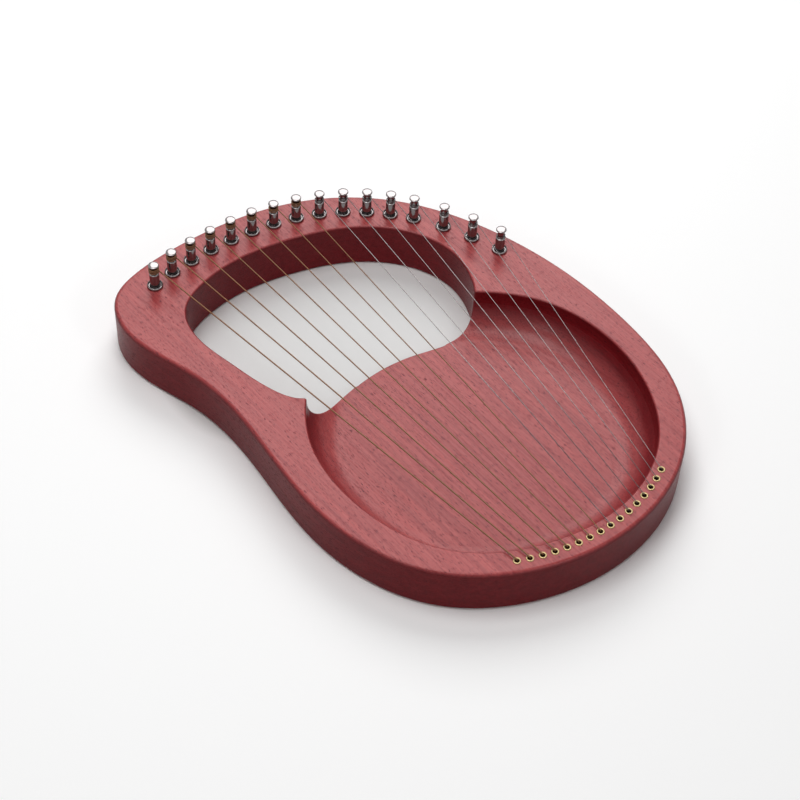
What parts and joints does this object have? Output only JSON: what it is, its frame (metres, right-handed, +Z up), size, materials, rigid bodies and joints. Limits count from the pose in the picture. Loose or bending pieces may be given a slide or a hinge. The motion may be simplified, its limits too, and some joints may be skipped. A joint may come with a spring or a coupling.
{
  "type": "lyre harp",
  "caption": "Solid wood lyre harp lying on its back, with a hand opening, a milled bowl, rows of tuning pins in bushings and strings through eyelets",
  "frame": {"origin": "middle of the body's bounding box on its flat back, where it lies on a table", "axes": "+Z up out of the face that carries the strings, +Y along the instrument towards the tuning pins, +X towards the short strings"},
  "size_m": [0.2698, 0.37, 0.0552],
  "materials": {
    "mahogany": "satin red-brown stain, open grain",
    "polished_nickel": "polished nickel plate",
    "bronze_wound_string": "fine bronze winding",
    "steel_string": "plain drawn wire"
  },
  "bodies": {
    "frame": {"body": "mahogany", "bushing_01": "polished_nickel", "bushing_02": "polished_nickel", "bushing_03": "polished_nickel", "bushing_04": "polished_nickel", "bushing_05": "polished_nickel", "bushing_06": "polished_nickel", "bushing_07": "polished_nickel", "bushing_08": "polished_nickel", "bushing_09": "polished_nickel", "bushing_10": "polished_nickel", "bushing_11": "polished_nickel", "bushing_12": "polished_nickel", "bushing_13": "polished_nickel", "bushing_14": "polished_nickel", "bushing_15": "polished_nickel", "bushing_16": "polished_nickel", "string_01": "bronze_wound_string", "string_02": "bronze_wound_string", "string_03": "bronze_wound_string", "string_04": "bronze_wound_string", "string_05": "bronze_wound_string", "string_06": "bronze_wound_string", "string_07": "bronze_wound_string", "string_08": "bronze_wound_string", "string_09": "steel_string", "string_10": "steel_string", "string_11": "steel_string", "string_12": "steel_string", "string_13": "steel_string", "string_14": "steel_string", "string_15": "steel_string", "string_16": "steel_string"},
    "pin_01": {"pin_01": "polished_nickel"},
    "pin_02": {"pin_02": "polished_nickel"},
    "pin_03": {"pin_03": "polished_nickel"},
    "pin_04": {"pin_04": "polished_nickel"},
    "pin_05": {"pin_05": "polished_nickel"},
    "pin_06": {"pin_06": "polished_nickel"},
    "pin_07": {"pin_07": "polished_nickel"},
    "pin_08": {"pin_08": "polished_nickel"},
    "pin_09": {"pin_09": "polished_nickel"},
    "pin_10": {"pin_10": "polished_nickel"},
    "pin_11": {"pin_11": "polished_nickel"},
    "pin_12": {"pin_12": "polished_nickel"},
    "pin_13": {"pin_13": "polished_nickel"},
    "pin_14": {"pin_14": "polished_nickel"},
    "pin_15": {"pin_15": "polished_nickel"},
    "pin_16": {"pin_16": "polished_nickel"}
  },
  "joints": [
    {"name": "pin_01_turn", "type": "hinge", "parent": "frame", "child": "pin_01", "pos_m": [-0.09567, 0.16175, 0.035], "axis": [0, 0, 1], "continuous": true},
    {"name": "pin_02_turn", "type": "hinge", "parent": "frame", "child": "pin_02", "pos_m": [-0.07926, 0.16477, 0.035], "axis": [0, 0, 1], "continuous": true},
    {"name": "pin_03_turn", "type": "hinge", "parent": "frame", "child": "pin_03", "pos_m": [-0.06261, 0.16603, 0.035], "axis": [0, 0, 1], "continuous": true},
    {"name": "pin_04_turn", "type": "hinge", "parent": "frame", "child": "pin_04", "pos_m": [-0.04591, 0.16629, 0.035], "axis": [0, 0, 1], "continuous": true},
    {"name": "pin_05_turn", "type": "hinge", "parent": "frame", "child": "pin_05", "pos_m": [-0.02923, 0.1656, 0.035], "axis": [0, 0, 1], "continuous": true},
    {"name": "pin_06_turn", "type": "hinge", "parent": "frame", "child": "pin_06", "pos_m": [-0.01264, 0.16373, 0.035], "axis": [0, 0, 1], "continuous": true},
    {"name": "pin_07_turn", "type": "hinge", "parent": "frame", "child": "pin_07", "pos_m": [0.00373, 0.16044, 0.035], "axis": [0, 0, 1], "continuous": true},
    {"name": "pin_08_turn", "type": "hinge", "parent": "frame", "child": "pin_08", "pos_m": [0.01968, 0.15552, 0.035], "axis": [0, 0, 1], "continuous": true},
    {"name": "pin_09_turn", "type": "hinge", "parent": "frame", "child": "pin_09", "pos_m": [0.03497, 0.14883, 0.035], "axis": [0, 0, 1], "continuous": true},
    {"name": "pin_10_turn", "type": "hinge", "parent": "frame", "child": "pin_10", "pos_m": [0.04929, 0.14026, 0.035], "axis": [0, 0, 1], "continuous": true},
    {"name": "pin_11_turn", "type": "hinge", "parent": "frame", "child": "pin_11", "pos_m": [0.06236, 0.12989, 0.035], "axis": [0, 0, 1], "continuous": true},
    {"name": "pin_12_turn", "type": "hinge", "parent": "frame", "child": "pin_12", "pos_m": [0.07404, 0.11797, 0.035], "axis": [0, 0, 1], "continuous": true},
    {"name": "pin_13_turn", "type": "hinge", "parent": "frame", "child": "pin_13", "pos_m": [0.08417, 0.1047, 0.035], "axis": [0, 0, 1], "continuous": true},
    {"name": "pin_14_turn", "type": "hinge", "parent": "frame", "child": "pin_14", "pos_m": [0.09523, 0.08559, 0.035], "axis": [0, 0, 1], "continuous": true},
    {"name": "pin_15_turn", "type": "hinge", "parent": "frame", "child": "pin_15", "pos_m": [0.104, 0.06531, 0.035], "axis": [0, 0, 1], "continuous": true},
    {"name": "pin_16_turn", "type": "hinge", "parent": "frame", "child": "pin_16", "pos_m": [0.11088, 0.04432, 0.035], "axis": [0, 0, 1], "continuous": true}
  ]
}
